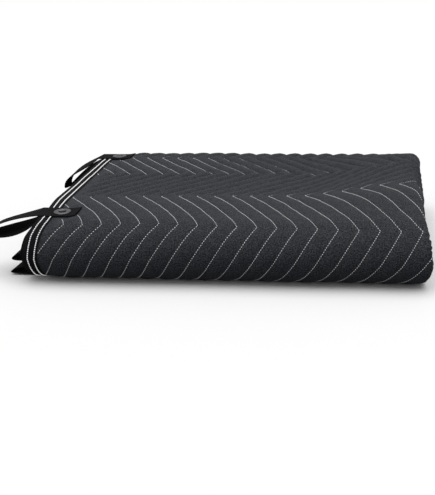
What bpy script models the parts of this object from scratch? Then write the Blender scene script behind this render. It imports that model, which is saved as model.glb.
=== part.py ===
"""A quilted sound dampening blanket, folded into a pad with its hems on the left and its fold on the right.

The blanket is cut flat, thickened and quilted flat, then folded by one function: first in half across its width,
then back and forth along its length. Flat coordinates are u across the cut width, measured from the edge that has the
loops, s along the cut length, and w through the cloth, positive on its outer side.
Units are metres, +Z is up, +X runs to the fold, and the origin is under the middle of the pad.
"""

import bisect
import math

import bmesh
import bpy
from mathutils import Vector

# Cloth as cut
CUT_WIDTH = 1.22
CUT_LENGTH = 2.44
PLY = 0.0097
GAP = 0.0009
CLEAR = 0.0004

# Folding
FOLD_LINE = 0.606
LEVELS = 5
LEVEL_PITCH = 2 * (PLY + GAP)
TAIL = 0.012
PLY_OFFSET = (PLY + GAP) / 2

# Hem, binding tape and the thinner cloth that they need
TAPE = 0.0008
TAPE_WIDTH = 0.027
HEM_HALF = 0.0017
HEM_SHIFT = -0.0015
HEM_THIN_TO = 0.052
HEM_FULL_FROM = 0.070
END_THIN_TO = 0.030
END_FULL_FROM = 0.050

# Zigzag quilting
QUILT_PITCH = 0.0303
VALLEY_DEPTH = 0.0026

# Rows of tips in the visible stretch: distance behind the front of the top level, and place across the cloth
TIP_COLUMNS = ("behind", "across")
TIP_ROWS = (
    (-0.1640, -0.0225),
    (-0.0215, 0.0520),
    (0.1130, -0.0320),
    (0.2550, 0.0890),
    (0.4000, -0.0010),
    (0.5440, 0.1210),
)
PUFF_EDGES = (0.0, 0.30, 0.70)

# Settling of the folded stack
BACK_RISE = 0.076
FRONT_DROP = 0.072
HEM_SIDE_RISE = 0.061

# The top level's fold isn't pressed flat: its upper ply stands up in a soft roll
ROLL_HEIGHT = 0.0225
ROLL_FROM = 0.395
ROLL_FULL_AT = 0.578
ROLL_FRONT = -0.045
ROLL_FRONT_LENGTH = 0.13
ROLL_BACK = 0.440
ROLL_BACK_LENGTH = 0.12

# How far the hems and the fold lie to the right of straight lines: section of the route, share of the way along it
EDGE_COLUMNS = ("section", "share", "hems", "fold")
EDGE_ROWS = (
    ("run_1", 0.0, -0.002, -0.004),
    ("run_1", 0.6, -0.006, 0.000),
    ("outer_nose", 0.0, -0.004, 0.002),
    ("outer_nose", 0.45, -0.008, 0.011),
    ("outer_nose", 0.70, -0.001, 0.008),
    ("outer_nose", 0.90, 0.008, 0.004),
    ("run_5", 0.05, 0.010, 0.004),
    ("run_5", 0.20, 0.004, 0.008),
    ("run_5", 0.56, -0.007, 0.009),
    ("run_5", 0.85, -0.009, 0.006),
    ("top_back", 0.5, -0.006, -0.012),
    ("run_4", 0.3, -0.001, 0.004),
    ("run_4", 0.8, 0.002, 0.006),
    ("inner_nose", 0.5, 0.006, 0.001),
    ("run_2", 0.3, 0.001, -0.003),
    ("run_2", 0.8, -0.003, 0.001),
    ("run_3", 0.2, -0.006, 0.005),
    ("run_3", 1.0, -0.002, 0.002),
)

# Webbing loops and grommets
WEBBING = 0.0016
WEBBING_WIDTH = 0.040
GROMMET_FROM_EDGE = 0.032
GROMMET_RADIUS = 0.014
GROMMET_HOLE_RADIUS = 0.00635
GROMMET_WALL = 0.0009
LEG_END_OUTER = 0.059
LEG_END_INNER = 0.050
LOOP_STRAIGHT = 0.006

# name, level that it is sewn to, distance behind the front of that level, reach past the edge, rise of its upper
# leg, droop of its tip, sag of its lower leg, how much higher its upper and its lower leg stand at the back than in
# the middle, whether it has its grommet in view
LOOP_COLUMNS = (
    "name", "level", "behind", "reach", "rise", "droop", "sag", "upper_twist", "lower_twist", "grommet")
LOOP_ROWS = (
    ("front", 5, 0.018, 0.094, -0.008, 0.031, 0.017, -0.002, 0.0025, True),
    ("back", 5, 0.408, 0.081, -0.017, 0.046, 0.010, 0.002, 0.002, True),
    ("inner_upper", 2, 0.022, 0.052, 0.007, 0.003, 0.005, 0.0, 0.0, False),
    ("inner_lower", 1, 0.018, 0.045, 0.000, 0.004, 0.007, 0.0, 0.0, False),
)
LOOPS = [dict(zip(LOOP_COLUMNS, row)) for row in LOOP_ROWS]

NOSE_STEPS = 10
SMALL_NOSE_STEPS = 6
FOLD_STEPS = 5
ROLL_FOLD_STEPS = 2
SPAN_LINES = (0.25, 0.395, 0.47, 0.52)
GROMMET_STEPS = 20
LOOP_CURVE_STEPS = 6
SAME = 1e-6

# The route of the loop edge's ply through the stack: length of a run, or radius and turn of a bend
BENDS = {
    "outer_nose": (2 * LEVEL_PITCH + PLY_OFFSET, -1, NOSE_STEPS),
    "top_back": (LEVEL_PITCH / 2 + PLY_OFFSET, -1, SMALL_NOSE_STEPS),
    "inner_nose": (LEVEL_PITCH - PLY_OFFSET, 1, SMALL_NOSE_STEPS),
    "low_back": (LEVEL_PITCH / 2 - PLY_OFFSET, 1, SMALL_NOSE_STEPS),
}
BEND_TOTAL = sum(math.pi * bend[0] for bend in BENDS.values())
RUN = (CUT_LENGTH - BEND_TOTAL - TAIL) / LEVELS
ROUTE = ("run_1", "outer_nose", "run_5", "top_back", "run_4", "inner_nose", "run_2", "low_back", "run_3")
NOSE_REACH = 2 * LEVEL_PITCH + PLY + GAP / 2
BACK_REACH = LEVEL_PITCH / 2 + PLY + GAP / 2
DEPTH = RUN + NOSE_REACH + BACK_REACH
FRONT_Y = -DEPTH / 2 + NOSE_REACH
BACK_Y = FRONT_Y + RUN

FOLD_RADIUS = PLY_OFFSET
FOLD_START = FOLD_LINE - math.pi * FOLD_RADIUS / 2
FOLD_END = FOLD_LINE + math.pi * FOLD_RADIUS / 2
ROLL_START = FOLD_LINE - math.pi * (FOLD_RADIUS + ROLL_HEIGHT / 2) / 2
PAD_WIDTH = FOLD_START + FOLD_RADIUS + PLY / 2
TAPE_CLEAR = TAPE + CLEAR


def route_sections():
    """Each section of the route: name, where it starts and ends along s, start point, heading, radius and turn."""
    sections = []
    s = 0.0
    y = BACK_Y + TAIL
    z = PLY / 2
    heading = math.pi
    for name in ROUTE:
        if name in BENDS:
            radius, turn, steps = BENDS[name]
            length = math.pi * radius
        else:
            radius, turn, steps = None, 0, 0
            length = RUN + (TAIL if name == "run_1" else 0)
        sections.append((name, s, s + length, y, z, heading, radius, turn, steps))
        if radius is None:
            y += length * math.cos(heading)
            z += length * math.sin(heading)
        else:
            y -= 2 * turn * radius * math.sin(heading)
            z += 2 * turn * radius * math.cos(heading)
            heading += turn * math.pi
        s += length
    return sections


SECTIONS = route_sections()
SECTION_OF = {section[0]: section for section in SECTIONS}
TOP_START = SECTION_OF["run_5"][1]
TIPS = [dict(zip(TIP_COLUMNS, row)) for row in TIP_ROWS]
FIRST_TIP = TOP_START + TIPS[1]["behind"]
QUILT_FROM = SECTION_OF["outer_nose"][1]
QUILT_TO = SECTION_OF["top_back"][2]


def along_route(s, n):
    """(y, z) of the point at s along the route, n to the outer side of it."""
    for _, start, end, y, z, heading, radius, turn, _ in SECTIONS:
        if s <= end or start == SECTIONS[-1][1]:
            break
    if radius is None:
        y += (s - start) * math.cos(heading)
        z += (s - start) * math.sin(heading)
    else:
        centre_y = y - turn * radius * math.sin(heading)
        centre_z = z + turn * radius * math.cos(heading)
        heading += turn * (s - start) / radius
        y = centre_y + turn * radius * math.sin(heading)
        z = centre_z - turn * radius * math.cos(heading)
    return y - n * math.sin(heading), z + n * math.cos(heading)


def smooth(value):
    value = min(max(value, 0.0), 1.0)
    return value * value * (3 - 2 * value)


def settled(x, y, z):
    """The stack's own slump: it stands lower in front, higher behind and higher at the hems than at the fold."""
    from_fold = 0.5 - x / PAD_WIDTH
    from_front = (y + DEPTH / 2) / DEPTH
    height = 1 + BACK_RISE * smooth((from_front - 0.5) / 0.5) - FRONT_DROP * smooth((0.30 - from_front) / 0.28)
    return Vector((x, y, z * (height + HEM_SIDE_RISE * (from_fold - 0.5))))


def edge_places():
    """The rows of the edges' table, with where each is along s."""
    places = []
    for row in EDGE_ROWS:
        place = dict(zip(EDGE_COLUMNS, row))
        _, start, end, *_ = SECTION_OF[place["section"]]
        place["s"] = start + (end - start) * place["share"]
        places.append(place)
    return places


EDGE_PLACES = edge_places()


def edge_shift(s, across):
    """How far the cloth lies to the right at s: it follows the hems on the left and the fold on the right."""
    i = 1
    while i < len(EDGE_PLACES) - 1 and EDGE_PLACES[i]["s"] < s:
        i += 1
    low, high = EDGE_PLACES[i - 1], EDGE_PLACES[i]
    share = min(max((s - low["s"]) / (high["s"] - low["s"]), 0.0), 1.0)
    hems = low["hems"] + (high["hems"] - low["hems"]) * share
    fold = low["fold"] + (high["fold"] - low["fold"]) * share
    to_fold = min(max(across / FOLD_LINE, 0.0), 1.0)
    return hems + (fold - hems) * to_fold


def roll_height(s):
    """How high the upper ply stands off at the fold, at s."""
    behind = s - TOP_START
    front = smooth((behind - ROLL_FRONT) / ROLL_FRONT_LENGTH)
    return ROLL_HEIGHT * front * smooth((ROLL_BACK - behind) / ROLL_BACK_LENGTH)


def folded(u, s, w):
    """Where the flat point (u, s, w) lies in the folded stack."""
    height = roll_height(s)
    radius = FOLD_RADIUS + height / 2
    start = FOLD_LINE - math.pi * radius / 2
    end = FOLD_LINE + math.pi * radius / 2
    if u <= start:
        across = u
        n = w + height * smooth((u - ROLL_FROM) / (ROLL_FULL_AT - ROLL_FROM))
    elif u < end:
        angle = (u - start) / radius
        across = start + (radius + w) * math.sin(angle)
        n = height - radius + (radius + w) * math.cos(angle)
    else:
        across = start - (u - end)
        n = -2 * FOLD_RADIUS - w
    across += edge_shift(s, across)
    y, z = along_route(s, n)
    return settled(across - PAD_WIDTH / 2, y, z)


def ramp(value, low, high):
    return min(max((value - low) / (high - low), 0.0), 1.0)


def full_share(u, s):
    """0 at the hems, where the cloth is pressed thin, and 1 away from them."""
    edge = min(u, CUT_WIDTH - u)
    end = min(s, CUT_LENGTH - s)
    return min(ramp(edge, HEM_THIN_TO, HEM_FULL_FROM), ramp(end, END_THIN_TO, END_FULL_FROM))


def hem_middle(u):
    """How far the middle of the cloth lies off its route, inwards at both side hems."""
    share = 1 - ramp(min(u, CUT_WIDTH - u), HEM_THIN_TO, HEM_FULL_FROM)
    return HEM_SHIFT * share if u < FOLD_LINE else -HEM_SHIFT * share


def half_thickness(u, s):
    return HEM_HALF + (PLY / 2 - HEM_HALF) * full_share(u, s)


def zigzag(s):
    """Where one of the quilting lines lies across the cloth at s, in the visible stretch."""
    behind = s - TOP_START
    i = 1
    while i < len(TIPS) - 1 and TIPS[i]["behind"] < behind:
        i += 1
    low, high = TIPS[i - 1], TIPS[i]
    share = ramp(behind, low["behind"], high["behind"])
    return low["across"] + (high["across"] - low["across"]) * share


def valley(u, s):
    """Depth of the quilting under the tops of its puffs, on the outer side where it shows."""
    if not QUILT_FROM <= s <= QUILT_TO or u > FOLD_LINE:
        return 0.0
    across = ((u - zigzag(s)) / QUILT_PITCH) % 1
    nearest = min(across, 1 - across)
    return VALLEY_DEPTH * max(0.0, 1 - nearest / PUFF_EDGES[1]) * full_share(u, s)


def level_rows():
    """Stations along one run, from its front, shared by all the runs so that they settle alike."""
    tips = [tip["behind"] for tip in TIPS[2:5]]
    between = [(a + b) / 2 for a, b in zip(tips, tips[1:])]
    return sorted([0.0, tips[0] / 3, tips[0] * 2 / 3, *tips, *between, RUN])


def row_stations():
    """Stations along the whole cut length, ends left out."""
    found = [END_THIN_TO, END_FULL_FROM, CUT_LENGTH - END_THIN_TO, CUT_LENGTH - END_FULL_FROM, FIRST_TIP]
    for name, start, end, _, _, heading, radius, _, steps in SECTIONS:
        if radius is not None:
            found += [start + (end - start) * i / steps for i in range(1, steps)]
        elif math.cos(heading) > 0:
            found += [start + row for row in level_rows()]
        else:
            found += [end - row for row in level_rows()]
    stations = []
    for s in sorted(found):
        if not stations or s - stations[-1] > 0.002:
            stations.append(s)
    return [s for s in stations if TAPE_CLEAR + 0.002 < s < CUT_LENGTH - TAPE_CLEAR - 0.002]


def straight_lines():
    """Lines along the length that the folding needs: the hem's steps, the spans and the facets of the side fold."""
    hem = [HEM_THIN_TO, HEM_FULL_FROM]
    roll = [ROLL_START + (FOLD_START - ROLL_START) * i / ROLL_FOLD_STEPS for i in range(ROLL_FOLD_STEPS)]
    fold = [FOLD_START + (FOLD_END - FOLD_START) * i / FOLD_STEPS for i in range(FOLD_STEPS + 1)]
    past_fold = [2 * FOLD_LINE - u for u in reversed(roll)]
    return sorted([*hem, *SPAN_LINES, *roll, *fold, *past_fold, *(CUT_WIDTH - u for u in hem)])


ROWS = row_stations()
LINES = straight_lines()
STATIONS = [0.0, TAPE_CLEAR, *ROWS, CUT_LENGTH - TAPE_CLEAR, CUT_LENGTH]


def faceted(u, s, w):
    """The folded place of a flat point, straight between the stations, so that neighbouring pieces bend alike."""
    after = min(max(bisect.bisect_left(STATIONS, s), 1), len(STATIONS) - 1)
    low, high = STATIONS[after - 1], STATIONS[after]
    share = (s - low) / (high - low)
    return folded(u, low, w).lerp(folded(u, high, w), share)


def clear_scene():
    for item in list(bpy.data.objects):
        bpy.data.objects.remove(item)


def new_collection(name):
    group = bpy.data.collections.new(name)
    bpy.context.scene.collection.children.link(group)
    return group


def new_material(name, colour, roughness, metallic=0.0):
    material = bpy.data.materials.new(name)
    material.use_nodes = True
    surface = material.node_tree.nodes["Principled BSDF"]
    surface.inputs["Base Color"].default_value = (*colour, 1.0)
    surface.inputs["Roughness"].default_value = roughness
    surface.inputs["Metallic"].default_value = metallic
    return material


def new_object(name, bm, group, material):
    bmesh.ops.recalc_face_normals(bm, faces=bm.faces[:])
    if bm.calc_volume(signed=True) < 0:
        bmesh.ops.reverse_faces(bm, faces=bm.faces[:])
    mesh = bpy.data.meshes.new(name)
    bm.to_mesh(mesh)
    bm.free()
    mesh.materials.append(material)
    item = bpy.data.objects.new(name, mesh)
    group.objects.link(item)
    return item


def slice_at(bm, axis, positions, clear_below=False, clear_above=False):
    """Cuts every face where it crosses these positions along an axis."""
    normal = [0.0, 0.0, 0.0]
    normal[axis] = 1.0
    for position in positions:
        point = [0.0, 0.0, 0.0]
        point[axis] = position
        bmesh.ops.bisect_plane(
            bm, geom=bm.verts[:] + bm.edges[:] + bm.faces[:], dist=1e-7, plane_co=point, plane_no=normal,
            clear_inner=clear_below, clear_outer=clear_above)


def quilted_sheet():
    """The flat cloth as one surface: its columns follow the quilting and its rows are the folding's stations."""
    rows = [TAPE_CLEAR, *ROWS, CUT_LENGTH - TAPE_CLEAR]
    offsets = [zigzag(s) for s in rows]
    first = math.floor(-max(offsets) / QUILT_PITCH) - 1
    last = math.ceil((CUT_WIDTH - min(offsets)) / QUILT_PITCH) + 1
    columns = [(k + edge) * QUILT_PITCH for k in range(first, last) for edge in PUFF_EDGES]
    bm = bmesh.new()
    bmesh.ops.create_grid(bm, x_segments=len(columns) - 1, y_segments=len(rows) - 1, size=0.5)
    for vertex in bm.verts:
        column = round((vertex.co.x + 0.5) * (len(columns) - 1))
        row = round((vertex.co.y + 0.5) * (len(rows) - 1))
        vertex.co = (columns[column] + offsets[row], rows[row], 0.0)
    slice_at(bm, 0, [TAPE_CLEAR], clear_below=True)
    slice_at(bm, 0, [CUT_WIDTH - TAPE_CLEAR], clear_above=True)
    slice_at(bm, 0, LINES)
    return bm


def shows_quilting(u, s):
    return QUILT_FROM < s < QUILT_TO and HEM_THIN_TO < u < 2 * FOLD_LINE - ROLL_START


def drop_plain_columns(bm):
    """Takes out the columns where no quilting shows, and leaves the rows and the straight lines."""
    lines = [TAPE_CLEAR, *LINES, CUT_WIDTH - TAPE_CLEAR]
    plain = []
    for edge in bm.edges:
        a, b = (vertex.co for vertex in edge.verts)
        through = abs(a.z - b.z) > SAME
        along_row = abs(a.y - b.y) < SAME and not through
        on_line = abs(a.x - b.x) < SAME and any(abs(a.x - line) < SAME for line in lines)
        at_station = any(abs(a.y - station) < SAME for station in STATIONS)
        middle = (a + b) / 2
        shown = middle.z > 0.9 * PLY and shows_quilting(middle.x, middle.y)
        if not (along_row or shown or (on_line and (at_station or not through))):
            plain.append(edge)
    bmesh.ops.dissolve_edges(bm, edges=plain, use_verts=True, use_face_split=False)


def make_blanket(group, material):
    bm = quilted_sheet()
    made = bmesh.ops.extrude_face_region(bm, geom=bm.faces[:])
    for item in made["geom"]:
        if isinstance(item, bmesh.types.BMVert):
            item.co.z = PLY
    drop_plain_columns(bm)
    for vertex in bm.verts:
        u, s, outer = vertex.co.x, vertex.co.y, vertex.co.z > PLY / 2
        middle = hem_middle(u)
        if outer:
            w = middle + half_thickness(u, s) - valley(u, s)
        else:
            w = middle - half_thickness(u, s)
        vertex.co = faceted(u, s, w)
    return new_object("blanket", bm, group, material)


def outline_solid(outline, half_depth):
    """A flat outline made solid. Its own x and y stay, and it reaches half_depth each way along z."""
    curve = bpy.data.curves.new("outline", "CURVE")
    curve.dimensions = "2D"
    curve.fill_mode = "BOTH"
    curve.extrude = half_depth
    spline = curve.splines.new("POLY")
    spline.points.add(len(outline) - 1)
    for point, (x, y) in zip(spline.points, outline):
        point.co = (x, y, 0.0, 1.0)
    spline.use_cyclic_u = True
    guide = bpy.data.objects.new("outline", curve)
    bpy.context.scene.collection.objects.link(guide)
    graph = bpy.context.evaluated_depsgraph_get()
    mesh = bpy.data.meshes.new_from_object(guide.evaluated_get(graph))
    bm = bmesh.new()
    bm.from_mesh(mesh)
    bmesh.ops.remove_doubles(bm, verts=bm.verts[:], dist=1e-6)
    bmesh.ops.dissolve_limit(bm, angle_limit=1e-3, verts=bm.verts[:], edges=bm.edges[:])
    bpy.data.objects.remove(guide)
    bpy.data.curves.remove(curve)
    bpy.data.meshes.remove(mesh)
    return bm


def tape_outline():
    """The folded tape's section: from its edge inwards, and through the cloth."""
    inner = HEM_HALF + CLEAR
    outer = inner + TAPE
    return [
        (TAPE_WIDTH, outer), (0.0, outer), (0.0, -outer), (TAPE_WIDTH, -outer),
        (TAPE_WIDTH, -inner), (TAPE, -inner), (TAPE, inner), (TAPE_WIDTH, inner)]


def make_side_binding(name, group, material, from_far_side):
    """Tape along one long edge. Its solid is drawn with z along the length."""
    bm = outline_solid(tape_outline(), CUT_LENGTH / 2)
    slice_at(bm, 2, [s - CUT_LENGTH / 2 for s in ROWS])
    for vertex in bm.verts:
        u, w, s = vertex.co.x, vertex.co.y, vertex.co.z + CUT_LENGTH / 2
        if from_far_side:
            u = CUT_WIDTH - u
        vertex.co = faceted(u, s, w + hem_middle(u))
    return new_object(name, bm, group, material)


def make_end_binding(name, group, material, from_far_end):
    """Tape along one short edge, between the two side bindings. Its solid is drawn with z along the width."""
    half = CUT_WIDTH / 2 - TAPE_WIDTH - CLEAR
    bm = outline_solid(tape_outline(), half)
    slice_at(bm, 2, [u - CUT_WIDTH / 2 for u in LINES])
    for vertex in bm.verts:
        s, w, u = vertex.co.x, vertex.co.y, vertex.co.z + CUT_WIDTH / 2
        if from_far_end:
            s = CUT_LENGTH - s
        vertex.co = faceted(u, s, w + hem_middle(u))
    return new_object(name, bm, group, material)


def bezier(points, steps):
    """Points on a cubic curve after its first one."""
    a, b, c, d = (Vector(point) for point in points)
    found = []
    for i in range(1, steps + 1):
        t = i / steps
        found.append(a * (1 - t) ** 3 + b * 3 * t * (1 - t) ** 2 + c * 3 * t * t * (1 - t) + d * t ** 3)
    return found


def loop_centreline(loop):
    """The webbing's middle line in (u, w): its outer leg, the open loop past the edge, and its inner leg."""
    tape_top = HEM_SHIFT + HEM_HALF + CLEAR + TAPE
    tape_under = HEM_SHIFT - HEM_HALF - CLEAR - TAPE
    over = tape_top + CLEAR + WEBBING / 2
    under = tape_under - CLEAR - WEBBING / 2
    cloth_top = hem_middle(LEG_END_OUTER) + half_thickness(LEG_END_OUTER, CUT_LENGTH / 2)
    end_over = max(over, cloth_top + CLEAR + WEBBING / 2)
    reach, droop, sag = loop["reach"], loop["droop"], loop["sag"]
    tip = (-reach, (over + under) / 2 - droop)
    out_over = (-LOOP_STRAIGHT, over)
    out_under = (-LOOP_STRAIGHT, under)
    upper = [out_over, (-0.45 * reach, over + loop["rise"]), (-reach, tip[1] + 0.45 * droop + 0.002), tip]
    lower = [tip, (-reach, tip[1] - 0.004), (-LOOP_STRAIGHT - 0.2 * reach, under - sag * 1.6), out_under]
    line = [Vector((LEG_END_OUTER, end_over)), Vector((HEM_THIN_TO - 0.002, over)), Vector(out_over)]
    line += bezier(upper, LOOP_CURVE_STEPS) + bezier(lower, LOOP_CURVE_STEPS)
    return line + [Vector((LEG_END_INNER, under))]


def band_outline(line, thickness):
    """A closed outline of even thickness round an open line."""
    sides = [[], []]
    for i, point in enumerate(line):
        before = line[max(i - 1, 0)]
        after = line[min(i + 1, len(line) - 1)]
        along = (after - before).normalized()
        normal = Vector((-along.y, along.x))
        sides[0].append(point + normal * thickness / 2)
        sides[1].append(point - normal * thickness / 2)
    return sides[0] + sides[1][::-1]


def loop_station(loop):
    """Where the middle of a loop is along s."""
    _, start, end, _, _, heading, _, _, _ = SECTION_OF[f"run_{loop['level']}"]
    return start + loop["behind"] if math.cos(heading) > 0 else end - loop["behind"]


def loop_twist(loop, u, w, beside):
    """How far the open loop's webbing is turned up or down, so far beside its middle."""
    out = ramp(-u, LOOP_STRAIGHT, loop["reach"])
    split = -out * loop["droop"] + HEM_SHIFT
    most = loop["upper_twist"] if w > split else loop["lower_twist"]
    return most * 4 * out * (1 - out) * beside / (WEBBING_WIDTH / 2)


def make_loop(loop, group, material):
    bm = outline_solid(band_outline(loop_centreline(loop), WEBBING), WEBBING_WIDTH / 2)
    s = loop_station(loop)
    slice_at(bm, 2, [row - s for row in ROWS if abs(row - s) < WEBBING_WIDTH / 2])
    for vertex in bm.verts:
        u, w, beside = vertex.co
        vertex.co = faceted(u, s + beside, w + loop_twist(loop, u, w, beside))
    return new_object(f"loop_{loop['name']}", bm, group, material)


def grommet_place(loop):
    """The middle of a loop's grommet, its tilt with the cloth there, and how much taller the stack has settled."""
    s = loop_station(loop)
    u = GROMMET_FROM_EDGE
    taller = (faceted(u, s, PLY / 2) - faceted(u, s, -PLY / 2)).z / PLY
    before, after = (faceted(u, s + step, HEM_SHIFT) for step in (-GROMMET_RADIUS, GROMMET_RADIUS))
    left, right = (faceted(u + step, s, HEM_SHIFT) for step in (-GROMMET_RADIUS, GROMMET_RADIUS))
    about_x = math.atan2(after.z - before.z, after.y - before.y)
    about_y = math.atan2(left.z - right.z, right.x - left.x)
    return (before + after) / 2, (about_x, about_y, 0.0), taller


def make_grommet(loop, group, material):
    """A turned grommet: two rims joined by the tube that lines the hole."""
    middle, tilt, taller = grommet_place(loop)
    upper = (HEM_HALF + CLEAR + TAPE + CLEAR + WEBBING + CLEAR) * taller + GROMMET_WALL
    lower = -upper
    hole = GROMMET_HOLE_RADIUS
    tube = hole + GROMMET_WALL
    rim = GROMMET_RADIUS
    wall = GROMMET_WALL
    profile = [
        (hole + 0.0006, upper), (rim - 0.0015, upper), (rim, upper - 0.5 * wall), (rim, upper - wall),
        (tube, upper - wall), (tube, lower + wall), (rim, lower + wall), (rim, lower),
        (hole + 0.0006, lower), (hole, lower + 0.0006), (hole, upper - 0.0006)]
    mesh = bpy.data.meshes.new(f"grommet_{loop['name']}")
    bm = bmesh.new()
    points = [bm.verts.new((radius, 0.0, z)) for radius, z in profile]
    for a, b in zip(points, points[1:] + points[:1]):
        bm.edges.new((a, b))
    bm.to_mesh(mesh)
    bm.free()
    mesh.materials.append(material)
    item = bpy.data.objects.new(f"grommet_{loop['name']}", mesh)
    item.location = middle
    item.rotation_euler = tilt
    group.objects.link(item)
    screw = item.modifiers.new("turn", "SCREW")
    screw.steps = screw.render_steps = GROMMET_STEPS
    screw.use_merge_vertices = True
    screw.merge_threshold = 1e-5
    screw.use_normal_calculate = True
    return item


def cut_hole(item, loop, group, half_depth):
    """Cuts the grommet's clearance hole through a piece, so far each way from the middle of the hem."""
    radius = GROMMET_HOLE_RADIUS + GROMMET_WALL + CLEAR
    bm = bmesh.new()
    bmesh.ops.create_cone(
        bm, cap_ends=True, segments=GROMMET_STEPS, depth=2 * half_depth, radius1=radius, radius2=radius)
    mesh = bpy.data.meshes.new("hole_cutter")
    bm.to_mesh(mesh)
    bm.free()
    cutter = bpy.data.objects.new(f"hole_cutter_{item.name}_{loop['name']}", mesh)
    cutter.location, cutter.rotation_euler, _ = grommet_place(loop)
    cutter.hide_render = True
    cutter.display_type = "WIRE"
    group.objects.link(cutter)
    boolean = item.modifiers.new(f"hole_{loop['name']}", "BOOLEAN")
    boolean.operation = "DIFFERENCE"
    boolean.object = cutter


def main():
    clear_scene()
    group = new_collection("sound_dampening_blanket")
    cutters = new_collection("cutters")
    cloth = new_material("quilted_cloth", (0.045, 0.045, 0.05), 0.9)
    tape = new_material("binding_tape", (0.02, 0.02, 0.022), 0.85)
    webbing = new_material("webbing", (0.012, 0.012, 0.013), 0.8)
    metal = new_material("grommet_metal", (0.25, 0.25, 0.26), 0.3, 1.0)
    blanket = make_blanket(group, cloth)
    loop_edge = make_side_binding("binding_loop_edge", group, tape, False)
    make_side_binding("binding_plain_edge", group, tape, True)
    make_end_binding("binding_outer_end", group, tape, False)
    make_end_binding("binding_inner_end", group, tape, True)
    for loop in LOOPS:
        strap = make_loop(loop, group, webbing)
        if loop["grommet"]:
            make_grommet(loop, group, metal)
            cut_hole(blanket, loop, cutters, HEM_HALF + TAPE)
            cut_hole(loop_edge, loop, cutters, PLY / 2 + GAP)
            cut_hole(strap, loop, cutters, PLY / 2 + GAP)


main()
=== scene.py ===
"""Looks of the folded sound dampening blanket: quilted cloth, sewing, tape, loops, grommets and the studio.

Flat coordinates are as in the part: u across the cut from the edge with the loops, s along it, and w through
the cloth, positive on its outer side. Everything is in metres.
"""

import math

import bmesh
import bpy
import numpy as np
from mathutils import Matrix, Vector


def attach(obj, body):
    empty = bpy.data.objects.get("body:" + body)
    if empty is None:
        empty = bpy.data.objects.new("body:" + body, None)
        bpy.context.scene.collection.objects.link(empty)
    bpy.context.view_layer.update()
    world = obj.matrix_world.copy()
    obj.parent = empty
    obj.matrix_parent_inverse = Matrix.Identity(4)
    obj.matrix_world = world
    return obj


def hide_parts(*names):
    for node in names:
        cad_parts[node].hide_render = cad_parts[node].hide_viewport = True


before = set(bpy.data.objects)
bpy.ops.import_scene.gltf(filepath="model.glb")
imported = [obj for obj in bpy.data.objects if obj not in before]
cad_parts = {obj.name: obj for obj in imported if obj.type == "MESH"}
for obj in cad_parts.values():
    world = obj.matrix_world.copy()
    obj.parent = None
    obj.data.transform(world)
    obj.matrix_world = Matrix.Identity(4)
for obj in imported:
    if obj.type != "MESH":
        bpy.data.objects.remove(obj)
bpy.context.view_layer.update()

# Cloth as cut
CUT_WIDTH = 1.22
CUT_LENGTH = 2.44
PLY = 0.0097
GAP = 0.0009

# Folding, as in the part
FOLD_LINE = 0.606
LEVELS = 5
LEVEL_PITCH = 2 * (PLY + GAP)
TAIL = 0.012
PLY_OFFSET = (PLY + GAP) / 2

# Hem and tape
TAPE = 0.0008
TAPE_WIDTH = 0.0235
TAPE_CLEAR = 0.0012
CLEAR = 0.0004
HEM_HALF = 0.0017
HEM_SHIFT = -0.0015
HEM_THIN_TO = 0.027
HEM_FULL_FROM = 0.052
PRESSED_THIN_TO = 0.044
PRESSED_FULL_FROM = 0.068
PRESSED_REACH = 0.036
PRESSED_FADE = 0.012
END_THIN_TO = 0.030
END_FULL_FROM = 0.050

# Quilting: rows of tips, each with its distance behind the front of the top level, its place across the
# cloth, and how deep the valleys are there on the left and on the right
QUILT_PITCH = 0.0303
TIP_COLUMNS = ("behind", "across", "depth_left", "depth_right")
TIP_ROWS = (
    (-0.3070, 0.0920, 0.0022, 0.0022),
    (-0.1640, -0.0285, 0.0022, 0.0022),
    (-0.0215, 0.0520, 0.0020, 0.0020),
    (0.1230, -0.0320, 0.0036, 0.0026),
    (0.1514, -0.0097, 0.0054, 0.0037),
    (0.2466, 0.0651, 0.0050, 0.0048),
    (0.2770, 0.0890, 0.0052, 0.0056),
    (0.3020, 0.0707, 0.0034, 0.0056),
    (0.4000, -0.0010, 0.0028, 0.0062),
    (0.5440, 0.1210, 0.0030, 0.0040),
    (0.6870, 0.0360, 0.0030, 0.0030),
)
REPEAT_ROWS = (3, 8)
DEPTH_TURNS_FROM = 0.10
DEPTH_TURNS_OVER = 0.35
VALLEY_POWER = 2.1
INNER_VALLEY = 0.0010
PUFF_SHARES = (0.0, 0.10, 0.28, 0.5, 0.72, 0.90)

# How far the quilting strays at four places across the cloth: the row's distance behind the front, its
# strays along the cut, and its strays across it
STRAY_AT = (0.06, 0.19, 0.34, 0.52)
STRAY_ROWS = (
    (-0.1640, (0.000, 0.000, 0.000, 0.000), (0.000, 0.000, 0.000, 0.000)),
    (-0.0215, (-0.004, 0.002, -0.002, -0.006), (0.000, -0.001, 0.000, 0.000)),
    (0.1230, (-0.018, -0.005, 0.000, 0.004), (-0.003, -0.004, -0.007, -0.011)),
    (0.2770, (0.000, 0.003, 0.001, -0.004), (0.000, 0.000, 0.000, 0.000)),
    (0.4000, (0.000, 0.000, 0.000, 0.000), (0.000, 0.000, 0.000, 0.000)),
)

# Settling
BACK_RISE = 0.076
FRONT_DROP = 0.072
HEM_SIDE_RISE = 0.061
ROLL_HEIGHT = 0.0225
ROLL_FROM = 0.395
ROLL_FULL_AT = 0.578
ROLL_FRONT = -0.045
ROLL_FRONT_LENGTH = 0.13
ROLL_BACK = 0.440
ROLL_BACK_LENGTH = 0.12

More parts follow.
